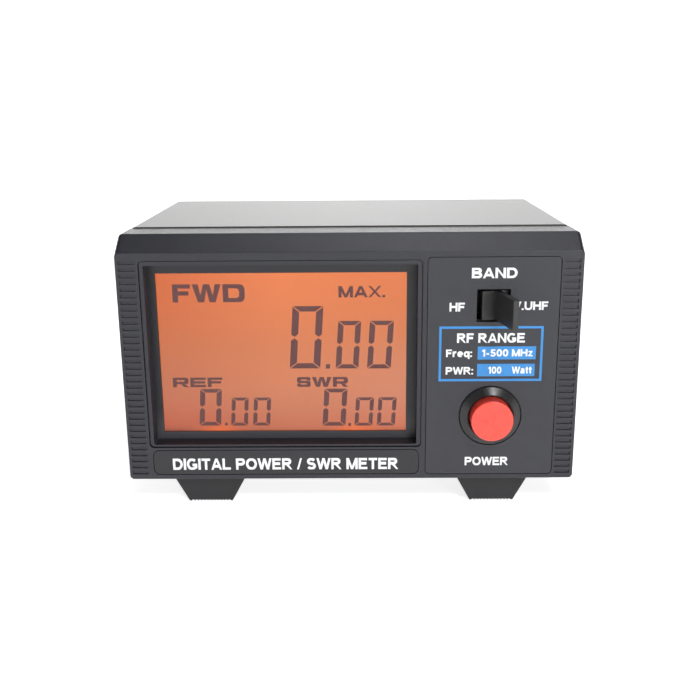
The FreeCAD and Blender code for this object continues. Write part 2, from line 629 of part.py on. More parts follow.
HEADER_H = 6.0
RIBBON_Y = 34.0
RIBBON_T = 0.9
RIBBON_BEND = 4.0
MAIN_HALF_W = 62.0
MAIN_FRONT_Y = 25.0
CAPACITOR_R = 3.15
CAPACITORS = [(28.0, 78.0), (37.0, 78.0), (28.0, 68.0)]


def make_main_board():
    board = box(-MAIN_HALF_W, MAIN_HALF_W, MAIN_FRONT_Y, CHASSIS_BACK - SHEET_T - 1.0,
                MAIN_Z, MAIN_Z + BOARD_T)
    board = board.cut([rod_z(x, y, 1.6, MAIN_Z - 1, MAIN_Z + 3) for x, y in STANDOFFS])
    save("main_board", board)
    top = MAIN_Z + BOARD_T
    save("microcontroller", block(-18.0, 50.0, top + 0.8, 12.0, 12.0, 1.6))
    save("voltage_regulator", box(12.0, 22.0, 80.0, 84.6, top, top + 12.0))
    capacitors = [rod_z(x, y, CAPACITOR_R, top, top + 11.0) for x, y in CAPACITORS]
    save("electrolytic_capacitors", *capacitors)
    header_x, header_z = DISPLAY_HEADER
    header_back = BOARD_Y + BOARD_T + 5.0
    headers = [box(header_x - 7, header_x + 7, BOARD_Y + BOARD_T, header_back, header_z - 3, header_z + 3)]
    for x, y in ((header_x, RIBBON_Y), (-40.0, 56.0), (44.0, 56.0)):
        headers.append(box(x - 7, x + 7, y - 3, y + 3, top, top + HEADER_H))
    save("board_headers", *headers)
    ribbon = box(header_x - 6, header_x + 6, header_back, RIBBON_Y + RIBBON_T / 2,
                 top + HEADER_H, header_z + RIBBON_T / 2)
    ribbon = ribbon.makeFillet(RIBBON_BEND + RIBBON_T, [
        e for e in ribbon.Edges
        if along(e, X_AXIS) and e.BoundBox.YMin > RIBBON_Y and e.BoundBox.ZMin > header_z])
    hollow = box(header_x - 7, header_x + 7, header_back - 1, RIBBON_Y - RIBBON_T / 2,
                 top + HEADER_H - 1, header_z - RIBBON_T / 2)
    hollow = hollow.makeFillet(RIBBON_BEND, [
        e for e in hollow.Edges
        if along(e, X_AXIS) and e.BoundBox.YMin > RIBBON_Y - RIBBON_T
        and e.BoundBox.ZMin > header_z - RIBBON_T])
    save("ribbon_cable", ribbon.cut(hollow))
    floor = SHEET_Z + SHEET_T
    posts = [
        rod_z(x, y, STANDOFF_R, floor, MAIN_Z).cut(rod_z(x, y, M3_HOLE_R, floor - 1, MAIN_Z + 1))
        for x, y in STANDOFFS
    ]
    save("board_standoffs", *posts)
    screws = [screw_m3(x, y, top, -Z_AXIS, 4.6) for x, y in STANDOFFS]
    screws += [pan_screw(x, y, SHEET_Z, Z_AXIS, 1.5, 4.6, 2.7, 1.4) for x, y in STANDOFFS]
    save("board_screws", *screws)


# ---- Coupler boxes ---------------------------------------------------------------------------------

def coupler_box(x0, x1):
    y1 = CHASSIS_BACK - SHEET_T
    outer = box(x0, x1, COUPLER_Y0, y1, COUPLER_Z0, COUPLER_Z1)
    inner = box(x0 + COUPLER_T, x1 - COUPLER_T, COUPLER_Y0 + COUPLER_T, y1 - COUPLER_T,
                COUPLER_Z0 + COUPLER_T, COUPLER_Z1 + 1)
    return outer.cut(inner)


def make_coupler(band, sockets):
    """Tray and through line of one coupler; returns the tray's lid."""
    x0, x1 = sockets[0] - 13.0, sockets[1] + 13.0
    tray = coupler_box(x0, x1)
    back = CHASSIS_BACK - SHEET_T
    for x in sockets:
        tray = tray.cut(rod_y(x, SOCKET_Z, 8.0, back - 3, back + 1))
        for dx, dz in corner_offsets(SCREW_PITCH / 2):
            tray = tray.cut(rod_y(x + dx, SOCKET_Z + dz, M3_HOLE_R, back - 3, back + 1))
    save("coupler_tray_" + band, tray)
    span = (sockets[0] - 3.0, sockets[1] + 3.0)
    if band == "hf":
        radius = 1.3
        line_y = SOLDER_Y - radius
        save("coupler_line_hf", rod_x(line_y, SOCKET_Z, radius, *span))
        middle = (sockets[0] + sockets[1]) / 2
        ring = rod_x(line_y, SOCKET_Z, 6.5, middle - 3, middle + 3)
        save("coupler_toroid_hf", ring.cut(rod_x(line_y, SOCKET_Z, 3.3, middle - 4, middle + 4)))
    else:
        strip_t = 1.0
        save("coupler_line_uhf", box(span[0], span[1], SOLDER_Y - strip_t, SOLDER_Y,
                                     SOCKET_Z - 2.5, SOCKET_Z + 2.5))
        save("coupler_pickup_uhf", box(sockets[0] + 5, sockets[1] - 5, SOLDER_Y - 6.6, SOLDER_Y - 5.0,
                                       SOCKET_Z - 7, SOCKET_Z + 7))
    return box(x0, x1, COUPLER_Y0, back, COUPLER_Z1, COUPLER_Z1 + COUPLER_T)


make_front_bezel()
make_plates()
make_display()
make_display_board()
make_power_switch()
make_band_switch()
make_chassis()
make_cover()
make_feet()
make_bezel_screws()
make_sockets()
make_dc_jack()
make_main_board()
lids = [make_coupler("hf", SOCKET_X[:2]), make_coupler("uhf", SOCKET_X[2:])]
save("coupler_lids", *lids)
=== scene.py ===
import math

import bmesh
import bpy
from mathutils import Matrix, Vector


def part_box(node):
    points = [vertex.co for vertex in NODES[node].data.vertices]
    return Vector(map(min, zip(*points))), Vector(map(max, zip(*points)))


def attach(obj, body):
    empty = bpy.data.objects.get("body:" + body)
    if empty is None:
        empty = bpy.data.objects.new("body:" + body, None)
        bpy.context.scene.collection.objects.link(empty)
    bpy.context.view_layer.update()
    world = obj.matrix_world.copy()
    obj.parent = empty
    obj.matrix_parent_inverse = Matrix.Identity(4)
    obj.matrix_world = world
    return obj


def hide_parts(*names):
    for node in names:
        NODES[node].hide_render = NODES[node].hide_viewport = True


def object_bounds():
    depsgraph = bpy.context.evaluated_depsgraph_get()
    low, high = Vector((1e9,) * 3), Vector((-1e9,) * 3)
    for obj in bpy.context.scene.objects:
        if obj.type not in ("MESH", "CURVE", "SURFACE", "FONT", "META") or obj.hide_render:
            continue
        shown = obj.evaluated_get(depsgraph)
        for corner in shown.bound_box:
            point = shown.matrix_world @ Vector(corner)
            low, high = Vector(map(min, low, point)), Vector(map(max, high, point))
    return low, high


# The looks of a desktop SWR and power meter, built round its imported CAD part. Positions below are in
# millimetres in the drawing frame: y = 0 is the bezel's front face and z = 0 its bottom edge.

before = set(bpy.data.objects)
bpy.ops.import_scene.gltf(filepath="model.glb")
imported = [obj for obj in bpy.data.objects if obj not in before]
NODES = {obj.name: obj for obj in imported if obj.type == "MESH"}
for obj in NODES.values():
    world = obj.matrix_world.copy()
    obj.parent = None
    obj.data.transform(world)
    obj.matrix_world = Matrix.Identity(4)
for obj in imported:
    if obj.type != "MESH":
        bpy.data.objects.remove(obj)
CAD_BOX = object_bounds()
SCENE = bpy.context.scene
MM = 0.001
BEZEL_LOW, BEZEL_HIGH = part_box("front_bezel")


def place(x, y, z):
    """A point of the drawing frame, in the row frame's metres."""
    return Vector((x * MM, BEZEL_LOW.y + y * MM, BEZEL_LOW.z + z * MM))


def depth_of(node):
    """How far back a node's front face lies, in the drawing frame."""
    return (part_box(node)[0].y - BEZEL_LOW.y) / MM


# ---- Camera ----------------------------------------------------------------------------------------

IMAGE = 700
FOCAL_PX = 905.57
PITCH, YAW, ROLL = (math.radians(a) for a in (14.902, -0.619, -0.463))
AXIS_PX = (349.73, 339.54)
CAMERA_AT = (3.257, -294.35, 128.85)


def make_camera():
    data = bpy.data.cameras.new("camera")
    data.sensor_width = 36.0
    data.lens = 36.0 * FOCAL_PX / IMAGE
    data.shift_x = (IMAGE / 2 - AXIS_PX[0]) / IMAGE
    data.shift_y = (AXIS_PX[1] - IMAGE / 2) / IMAGE
    data.clip_start, data.clip_end = 0.01, 50.0
    camera = bpy.data.objects.new("camera", data)
    SCENE.collection.objects.link(camera)
    ahead = Vector((math.sin(YAW) * math.cos(PITCH), math.cos(YAW) * math.cos(PITCH), -math.sin(PITCH)))
    side = ahead.cross(Vector((0, 0, 1))).normalized()
    up = side.cross(ahead)
    right = side * math.cos(ROLL) + up * math.sin(ROLL)
    up = right.cross(ahead)
    turn = Matrix((right, up, -ahead)).transposed()
    camera.matrix_world = Matrix.Translation(place(*CAMERA_AT)) @ turn.to_4x4()
    SCENE.camera = camera


# ---- Node helpers ----------------------------------------------------------------------------------

class Tree:
    """A material's or world's nodes, made with short calls."""

    def __init__(self, owner):
        owner.use_nodes = True
        self.nodes = owner.node_tree.nodes
        self.links = owner.node_tree.links
        self.nodes.clear()

    def add(self, kind, inputs=(), **settings):
        node = self.nodes.new(kind)
        for key, value in settings.items():
            setattr(node, key, value)
        for key, value in dict(inputs).items():
            self.set(node, key, value)
        return node

    def set(self, node, key, value):
        if isinstance(value, bpy.types.NodeSocket):
            self.links.new(value, node.inputs[key])
        else:
            node.inputs[key].default_value = value

    def math(self, operation, a, b):
        return self.add("ShaderNodeMath", {0: a, 1: b}, operation=operation).outputs[0]

    def mix(self, share, first, second):
        """A blend of two colours; share is the second one's. 6, 7 and 2 are the colour sockets."""
        return self.add("ShaderNodeMix", {0: share, 6: first, 7: second}, data_type="RGBA").outputs[2]

    def axis(self, where, letter):
        return self.add("ShaderNodeSeparateXYZ", {"Vector": where}).outputs[letter]

    def bump(self, height, distance):
        node = self.add("ShaderNodeBump", {"Height": height, "Strength": 1.0, "Distance": distance})
        return node.outputs["Normal"]

    def principled(self, inputs):
        """The shader of a material, joined to its output."""
        shader = self.add("ShaderNodeBsdfPrincipled", inputs)
        self.add("ShaderNodeOutputMaterial", {"Surface": shader.outputs[0]})
        return shader

    def noise(self, where, scale, detail=2.0, rough=0.5):
        node = self.add("ShaderNodeTexNoise", {"Vector": where, "Scale": scale, "Detail": detail,
                                               "Roughness": rough})
        return node.outputs["Fac"]

    def ramp(self, value, stops, interpolation="LINEAR"):
        node = self.add("ShaderNodeValToRGB", {"Fac": value})
        ramp = node.color_ramp
        ramp.interpolation = interpolation
        while len(ramp.elements) < len(stops):
            ramp.elements.new(0.5)
        for element, (at, colour) in zip(ramp.elements, stops):
            element.position = at
            element.color = (*colour, 1.0)
        return node.outputs["Color"]

    def span(self, value, low, high, to_low=0.0, to_high=1.0):
        node = self.add("ShaderNodeMapRange", {"Value": value, "From Min": low, "From Max": high,
                                               "To Min": to_low, "To Max": to_high})
        return node.outputs["Result"]


def start_material(name):
    """A new material, its nodes, and the object coordinates that its patterns follow."""
    material = bpy.data.materials.new(name)
    tree = Tree(material)
    return material, tree, tree.add("ShaderNodeTexCoord").outputs["Object"]


def shade(colour, factor):
    return tuple(min(1.0, c * factor) for c in colour)


# The middle part of a noise's values, which holds nearly all of them.
NOISE_LOW, NOISE_HIGH = 0.3, 0.7
SLOW_SHARE, FINE_SHARE = 0.55, 0.45
PLAIN_GRAIN = 900.0
LEAST_ROUGH = 0.02


def surface(name, colour, rough, metallic=0.0, grain=None, spread=0.08, patch=220.0, rough_spread=0.08,
            emission=None, coat=0.0, coat_rough=0.1, specular=0.5, brushed=None, painted_light=None):
    """A moulded, painted or metal surface. grain is (cells per metre, height in metres) of its fine
    texture; patch is the cells per metre of the slow change of its colour and shine, and spread and
    rough_spread are how far these change. brushed stretches both patterns along the axes. The last
    argument is painted light: (height where it is strongest, height where it ends, its colour), lighter
    towards the bottom."""
    material, tree, where = start_material(name)
    if brushed is not None:
        where = tree.add("ShaderNodeMapping", {"Vector": where, "Scale": brushed}).outputs["Vector"]
    slow = tree.noise(where, patch, 3.0)
    fine = tree.noise(where, grain[0] if grain else PLAIN_GRAIN, 3.0, 0.6)
    both = tree.math("ADD", tree.math("MULTIPLY", slow, SLOW_SHARE), tree.math("MULTIPLY", fine, FINE_SHARE))
    tint = tree.ramp(both, [(NOISE_LOW, shade(colour, 1 - spread)), (NOISE_HIGH, shade(colour, 1 + spread))])
    # Painted light: a lighter colour blended in towards the bottom, fading out between two heights.
    if painted_light is not None:
        low, high, painted_colour = painted_light
        tint = tree.mix(tree.span(tree.axis(where, "Z"), low, high, 1.0, 0.0), tint, (*painted_colour, 1.0))
    shine = tree.span(both, NOISE_LOW, NOISE_HIGH, max(LEAST_ROUGH, rough - rough_spread),
                      min(1.0, rough + rough_spread))
    shader = tree.principled({
        "Base Color": tint, "Roughness": shine, "Metallic": metallic, "Specular IOR Level": specular,
        "Coat Weight": coat, "Coat Roughness": coat_rough})
    if emission is not None:
        tree.set(shader, "Emission Color", (*emission, 1.0))
        tree.set(shader, "Emission Strength", 1.0)
    if grain:
        tree.set(shader, "Normal", tree.bump(fine, grain[1]))
    return material


# ---- Mesh helpers ----------------------------------------------------------------------------------

def finish_piece(mesh, name, body, material, smooth=None):
    mesh.name = name
    mesh.materials.clear()
    mesh.materials.append(material)
    piece = bpy.data.objects.new(name, mesh)
    SCENE.collection.objects.link(piece)
    if smooth is not None:
        mesh.shade_smooth()
        mesh.set_sharp_from_angle(angle=math.radians(smooth))
    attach(piece, body)
    return piece


def close_shell(shell, mesh):
    """Writes a closed bmesh shell into a mesh, with its faces turned outwards."""
    bmesh.ops.recalc_face_normals(shell, faces=shell.faces)
    shell.to_mesh(mesh)
    shell.free()
    return mesh


WELD = 1e-6


def sheet_mesh(loops, y_front, thick):
    """Closed loops of (x, z), holes included, made into one plate whose front is at y_front."""
    curve = bpy.data.curves.new("loops", "CURVE")
    curve.dimensions = "2D"
    curve.fill_mode = "BOTH"
    curve.extrude = thick / 2
    for loop in loops:
        spline = curve.splines.new("POLY")
        spline.points.add(len(loop) - 1)
        for point, (x, z) in zip(spline.points, loop):
            point.co = (x, z, 0, 1)
        spline.use_cyclic_u = True
    holder = bpy.data.objects.new("outline", curve)
    SCENE.collection.objects.link(holder)
    mesh = bpy.data.meshes.new_from_object(holder.evaluated_get(bpy.context.evaluated_depsgraph_get()))
    bpy.data.objects.remove(holder)
    shell = bmesh.new()
    shell.from_mesh(mesh)
    bmesh.ops.remove_doubles(shell, verts=shell.verts, dist=WELD)
    bmesh.ops.dissolve_degenerate(shell, edges=shell.edges, dist=WELD)
    for vertex in shell.verts:
        x, z, out = vertex.co
        vertex.co = place(x, y_front + thick / 2 - out, z)
    return close_shell(shell, mesh)


# A bold alphabet of strokes, in units of the capital height: (the letter's width, its strokes). A stroke
# is a row of (x, z) points, where ("arc", x, z, rx, rz, from, to) stands for the points of that arc, in
# degrees. THICK is a stroke's thickness, and LEVEL that of a bowl's level runs, and of "/" and "z".
THICK, LEVEL = 0.245, 0.19
STEM_X = 0.1


def bowl(x, top, bottom, reach):
    """A stroke that leaves a stem at its top, goes round and comes back at its bottom."""
    high, low = top - LEVEL / 2, bottom + LEVEL / 2
    middle, half = (high + low) / 2, (high - low) / 2
    arc = ("arc", x, middle, reach, half, 90, -90)
    return [(STEM_X, high), (x, high), arc, (x, low), (STEM_X, low)]


STEM = [(STEM_X, 0.0), (STEM_X, 1.0)]
LETTERS = {
    "A": (1.0, [[(0.07, -0.1), (0.5, 1.08)], [(0.93, -0.1), (0.5, 1.08)], [(0.25, 0.3), (0.75, 0.3)]]),
    "B": (0.92, [STEM, bowl(0.5, 1.0, 0.46, 0.27), bowl(0.52, 0.6, 0.0, 0.3)]),
    "D": (0.95, [STEM, bowl(0.42, 1.0, 0.0, 0.43)]),
    "E": (0.86, [STEM, [(0.1, 0.915), (0.83, 0.915)], [(0.1, 0.52), (0.77, 0.52)],
                 [(0.1, 0.085), (0.86, 0.085)]]),
    "F": (0.78, [STEM, [(0.1, 0.915), (0.78, 0.915)], [(0.1, 0.5), (0.7, 0.5)]]),
    "G": (1.02, [[("arc", 0.5, 0.5, 0.41, 0.42, 42, 300), (0.9, 0.24), (0.9, 0.5)],
                 [(0.54, 0.43), (1.0, 0.43)]]),
    "H": (0.94, [STEM, [(0.84, 0.0), (0.84, 1.0)], [(0.1, 0.52), (0.84, 0.52)]]),
    "I": (0.2, [STEM]),
    "L": (0.8, [STEM, [(0.1, 0.085), (0.8, 0.085)]]),
    "M": (1.1, [STEM, [(1.0, 0.0), (1.0, 1.0)], [(0.12, 1.1), (0.55, -0.05)], [(0.98, 1.1), (0.55, -0.05)]]),
    "N": (0.94, [STEM, [(0.84, 0.0), (0.84, 1.0)], [(0.08, 1.1), (0.86, -0.1)]]),
    "O": (1.06, [[("arc", 0.53, 0.5, 0.43, 0.42, 0, 360)]]),
    "P": (0.88, [STEM, bowl(0.5, 1.0, 0.38, 0.28)]),
    "R": (0.96, [STEM, bowl(0.5, 1.0, 0.42, 0.28), [(0.42, 0.5), (0.9, -0.12)]]),
    "S": (0.86, [[("arc", 0.42, 0.71, 0.31, 0.205, 22, 262), (0.44, 0.5),
                  ("arc", 0.43, 0.295, 0.33, 0.21, 85, -158)]]),
    "T": (0.86, [[(0.43, 0.0), (0.43, 0.9)], [(0.0, 0.915), (0.86, 0.915)]]),
    "U": (0.94, [[(0.1, 1.0), (0.1, 0.4), ("arc", 0.47, 0.4, 0.37, 0.315, 180, 360), (0.84, 0.4),
                  (0.84, 1.0)]]),
    "V": (0.94, [[(0.06, 1.1), (0.47, -0.05)], [(0.88, 1.1), (0.47, -0.05)]]),
    "W": (1.34, [[(0.07, 1.1), (0.36, -0.08)], [(0.36, -0.08), (0.67, 1.08)], [(0.67, 1.08), (0.98, -0.08)],
                 [(0.98, -0.08), (1.27, 1.1)]]),
    "X": (0.94, [[(0.06, -0.1), (0.88, 1.1)], [(0.06, 1.1), (0.88, -0.1)]]),
    "a": (0.74, [[("arc", 0.34, 0.5, 0.24, 0.15, 160, 0), (0.58, 0.4), (0.6, 0.0)],
                 [("arc", 0.33, 0.22, 0.23, 0.15, 0, 360)]]),
    "e": (0.76, [[("arc", 0.38, 0.365, 0.28, 0.29, 0, 312)], [(0.12, 0.365), (0.75, 0.365)]]),
    "q": (0.78, [[("arc", 0.36, 0.365, 0.26, 0.29, 0, 360)], [(0.68, -0.27), (0.68, 0.74)]]),
    "r": (0.52, [[(0.1, 0.0), (0.1, 0.74)], [("arc", 0.42, 0.3, 0.31, 0.36, 180, 78)]]),
    "t": (0.46, [[(0.22, 0.96), (0.22, 0.22), ("arc", 0.36, 0.22, 0.14, 0.14, 180, 280)],
                 [(0.0, 0.66), (0.44, 0.66)]]),
    "z": (0.64, [[(0.04, 0.655), (0.62, 0.655)], [(0.54, 0.68), (0.1, 0.06)],
                 [(0.02, 0.085), (0.64, 0.085)]]),
    "0": (0.76, [[("arc", 0.38, 0.5, 0.28, 0.42, 0, 360)]]),
    "1": (0.5, [[(0.36, 0.0), (0.36, 1.0)], [(0.06, 0.72), (0.36, 0.9)]]),
    "5": (0.76, [[(0.7, 0.915), (0.2, 0.915), (0.15, 0.48)], [("arc", 0.36, 0.32, 0.29, 0.235, 140, -158)]]),
    "-": (0.46, [[(0.04, 0.36), (0.42, 0.36)]]),
    "/": (0.42, [[(0.04, -0.1), (0.38, 1.1)]]),
    ".": (0.2, [[(0.1, 0.0), (0.1, 0.2)]]),
    ":": (0.2, [[(0.1, 0.0), (0.1, 0.2)], [(0.1, 0.52), (0.1, 0.72)]]),
    " ": (0.3, []),
}
LETTER_GAP = 0.13
DESCENDER = -0.27
ARC_STEP = 18
SAME_POINT, SAME_END = 1e-4, 1e-3
LEAST_MITRE = 0.35
STROKE_RISE = 0.004


def stroke_points(stroke):
    points = []
    for item in stroke:
        if item[0] != "arc":
            points.append(item)
            continue
        _, x, z, rx, rz, start, stop = item
        count = max(2, round(abs(stop - start) / ARC_STEP))
        for i in range(count + 1):
            a = math.radians(start + (stop - start) * i / count)
            points.append((x + rx * math.cos(a), z + rz * math.sin(a)))
    kept = [points[0]]
    for point in points[1:]:
        if math.dist(point, kept[-1]) > SAME_POINT:
            kept.append(point)
    return kept


def stroke_sides(points, thick):
    """The two edges of a stroke, mitred at its bends. A stroke that ends where it starts is a ring."""
    ring = math.dist(points[0], points[-1]) < SAME_END
    if ring:
        points = points[:-1]
    sides = [], []
    for i, (x, z) in enumerate(points):
        before = points[i - 1] if i or ring else None
        after = points[(i + 1) % len(points)] if i + 1 < len(points) or ring else None
        normals = []
        runs = ([(before, (x, z))] if before else []) + ([((x, z), after)] if after else [])
        for (ax, az), (bx, bz) in runs:
            length = math.hypot(bx - ax, bz - az)
            normals.append(((az - bz) / length, (bx - ax) / length))
        nx, nz = (sum(n[k] for n in normals) / len(normals) for k in (0, 1))
        square = max(nx * nx + nz * nz, LEAST_MITRE)
        for side, sign in zip(sides, (1, -1)):
            side.append((x + sign * nx / square * thick / 2, z + sign * nz / square * thick / 2))
    return sides, ring


def text_mesh(words, box, y_front, thick):
    """Words as closed strokes that fill the box (x0, x1, z0, z1). Each stroke of a letter stands a
    little further back than the one before, so that no two front faces lie in one plane."""
    wide = sum(LETTERS[c][0] + LETTER_GAP for c in words) - LETTER_GAP
    low = DESCENDER if "q" in words else 0.0
    x0, x1, z0, z1 = box
    sx, sz = (x1 - x0) / wide, (z1 - z0) / (1.0 - low)
    shell = bmesh.new()
    start = 0.0
    for letter in words:
        width, strokes = LETTERS[letter]
        for number, stroke in enumerate(strokes):
            (left, right), ring = stroke_sides(stroke_points(stroke), LEVEL if letter in "/z" else THICK)
            front = y_front + number * STROKE_RISE
            rows = []
            for a, b in zip(left, right):
                row = []
                for (x, z), y in ((a, front), (b, front), (b, y_front + thick), (a, y_front + thick)):
                    floor_z = low if letter == "q" else 0.0
                    z = min(max(z, floor_z), 1.0)
                    row.append(shell.verts.new(place(x0 + (start + x) * sx, y, z0 + (z - low) * sz)))
                rows.append(row)
            if ring:
                rows.append(rows[0])
            for first, second in zip(rows, rows[1:]):
                for i in range(4):
                    j = (i + 1) % 4
                    shell.faces.new((first[i], first[j], second[j], second[i]))
            if not ring:
                shell.faces.new(rows[0])
                shell.faces.new(rows[-1][::-1])
        start += width + LETTER_GAP
    return close_shell(shell, bpy.data.meshes.new("words"))


def rectangle(x0, x1, z0, z1):
    return [(x0, z0), (x1, z0), (x1, z1), (x0, z1)]


CORNER_STEPS = 5


def rounded(x0, x1, z0, z1, radii):
    """A rectangle with its own corner radii: lower left, lower right, upper right, upper left."""
    corners = [(x0, z0, 1, 1, 180), (x1, z0, -1, 1, 270), (x1, z1, -1, -1, 0), (x0, z1, 1, -1, 90)]
    points = []
    for (x, z, sx, sz, start), radius in zip(corners, radii):
        if radius <= 0:
            points.append((x, z))
            continue
        cx, cz = x + sx * radius, z + sz * radius
        for i in range(CORNER_STEPS + 1):
            a = math.radians(start + 90 * i / CORNER_STEPS)
            points.append((cx + radius * math.cos(a), cz + radius * math.sin(a)))
    return points


def circle(x, z, radius, steps=24):
    return [(x + radius * math.cos(2 * math.pi * i / steps), z + radius * math.sin(2 * math.pi * i / steps))
            for i in range(steps)]


# ---- Display figures and words ---------------------------------------------------------------------

# The figures lean by SLANT. At half height an upright bar ends in a point, which lies TIP of the bar's
# width in from its outer edge; its outer and inner corners are OUTER_CUT and INNER_CUT widths short of it.
SLANT = 0.065
TIP, OUTER_CUT, INNER_CUT = 0.5, 0.35, 0.45


def zero_segments(x0, x1, z0, z1, u, v, gap):
    """The six lit bars of a seven-segment 0, mitred where they meet; u is the width of its uprights and
    v of its level bars."""
    x1 -= SLANT * (z1 - z0)
    zm = (z0 + z1) / 2
    g = gap / 2
    bars = [
        [(x0 + g, z1), (x1 - g, z1), (x1 - u - g, z1 - v), (x0 + u + g, z1 - v)],
        [(x0 + g, z0), (x0 + u + g, z0 + v), (x1 - u - g, z0 + v), (x1 - g, z0)],
    ]
    for side, edge in ((1, x0), (-1, x1)):
        for low, high, foot in ((z0, zm, True), (zm, z1, False)):
            if foot:
                bar = [(edge, low + g), (edge + side * u, low + v + g),
                       (edge + side * u, high - u * INNER_CUT - g), (edge + side * u * TIP, high - g),
                       (edge, high - u * OUTER_CUT - g)]
            else:
                bar = [(edge, high - g), (edge, low + u * OUTER_CUT + g), (edge + side * u * TIP, low + g),
                       (edge + side * u, low + u * INNER_CUT + g), (edge + side * u, high - v - g)]
            bars.append(bar)
    return [[(x + SLANT * (z - z0), z) for x, z in bar] for bar in bars]


# Proportions of the display's wide letters: the length of F's and E's middle arms, the corner of D and of
# R's bowl and how much smaller it is inside, R's neck and leg, S's cut corners and hooks, and W's joints.
F_ARM, E_ARM = 0.9, 0.95
D_CORNER, D_INNER = 0.3, 0.6
R_CORNER, R_INNER, R_NECK, R_FORK, R_LEG_IN, R_LEG_OUT, R_KNEE = 0.25, 0.5, 0.32, 0.52, 1.15, 0.1, 0.76
S_CUT, S_HOOK = 0.55, 1.45
W_BAR, W_PEAK, W_VALLEY, W_LEAN = 1.08, 1.3, 1.7, 0.42


def bar_letter(letter, x0, x1, z0, z1, u, v):
    """A wide display letter as loops; u is the width of its uprights and v of its level bars."""
    w = x1 - x0
    tall = z1 - z0
    zm = (z0 + z1) / 2
    if letter == "F":
        arm = x0 + w * F_ARM
        return [[(x0, z0), (x0 + u, z0), (x0 + u, zm - v / 2), (arm, zm - v / 2), (arm, zm + v / 2),
                 (x0 + u, zm + v / 2), (x0 + u, z1 - v), (x1, z1 - v), (x1, z1), (x0, z1)]]
    if letter == "E":
        arm = x0 + w * E_ARM
        return [[(x0, z0), (x1, z0), (x1, z0 + v), (x0 + u, z0 + v), (x0 + u, zm - v / 2),
                 (arm, zm - v / 2), (arm, zm + v / 2), (x0 + u, zm + v / 2), (x0 + u, z1 - v),
                 (x1, z1 - v), (x1, z1), (x0, z1)]]
    if letter == "D":
        r = tall * D_CORNER
        return [rounded(x0, x1, z0, z1, (0, r, r, 0)),
                rounded(x0 + u, x1 - u, z0 + v, z1 - v, (0, r * D_INNER, r * D_INNER, 0))]
    if letter == "R":
        r = tall * R_CORNER
        neck = z0 + tall * R_NECK
        outer = [(x0, z0), (x0 + u, z0), (x0 + u, neck), (x0 + w * R_FORK, neck), (x1 - u * R_LEG_IN, z0),
                 (x1 + u * R_LEG_OUT, z0), (x0 + w * R_KNEE, neck)]
        outer += rounded(x0 + w / 2, x1, neck, z1, (0, r, r, 0))[1:-1]
        outer.append((x0, z1))
        hole = rounded(x0 + u, x1 - u, neck + v, z1 - v, (0, r * R_INNER, r * R_INNER, 0))
        return [outer, hole]
    if letter == "S":
        c, hook = v * S_CUT, v * S_HOOK
        return [[(x0, z0 + c), (x0 + c, z0), (x1 - c, z0), (x1, z0 + c), (x1, zm + v / 2 - c),
                 (x1 - c, zm + v / 2), (x0 + u, zm + v / 2), (x0 + u, z1 - v), (x1 - u, z1 - v),
                 (x1 - u, z1 - hook), (x1, z1 - hook), (x1, z1 - c), (x1 - c, z1), (x0 + c, z1),
                 (x0, z1 - c), (x0, zm - v / 2 + c), (x0 + c, zm - v / 2), (x1 - u, zm - v / 2),
                 (x1 - u, z0 + v), (x0 + u, z0 + v), (x0 + u, z0 + hook), (x0, z0 + hook)]]
    # What is left is W.
    t = u * W_BAR
    q = (w - t) / 4
    xm, valley, lean = x0 + w / 2, z0 + v * W_VALLEY, t * W_LEAN
    return [[(x0, z1), (x0 + q, z0), (x0 + q + t, z0), (xm, z1 - v * W_PEAK), (x1 - q - t, z0), (x1 - q, z0),
             (x1, z1), (x1 - t, z1), (x1 - q - lean, valley), (xm + t / 2, z1), (xm - t / 2, z1),
             (x0 + q + lean, valley), (x0 + t, z1)]]


def bar_word(word, x0, x1, z0, z1, u, v, gap, widths):
    """Loops of a word whose letters share the width in proportion to widths."""
    unit = (x1 - x0 - gap * (len(word) - 1)) / sum(widths)
    loops, x = [], x0
    for letter, width in zip(word, widths):
        loops += bar_letter(letter, x, x + unit * width, z0, z1, u, v)
        x += unit * width + gap
    return loops


def slanted_box(x0, x1, z0, z1):
    return [(x0, z0), (x1, z0), (x1 + SLANT * (z1 - z0), z1), (x0 + SLANT * (z1 - z0), z1)]


SEGMENT_T, SEGMENT_CLEAR = 0.05, 0.01
SEGMENT_GAP, SEGMENT_GAP_SHARE = 0.28, 0.09


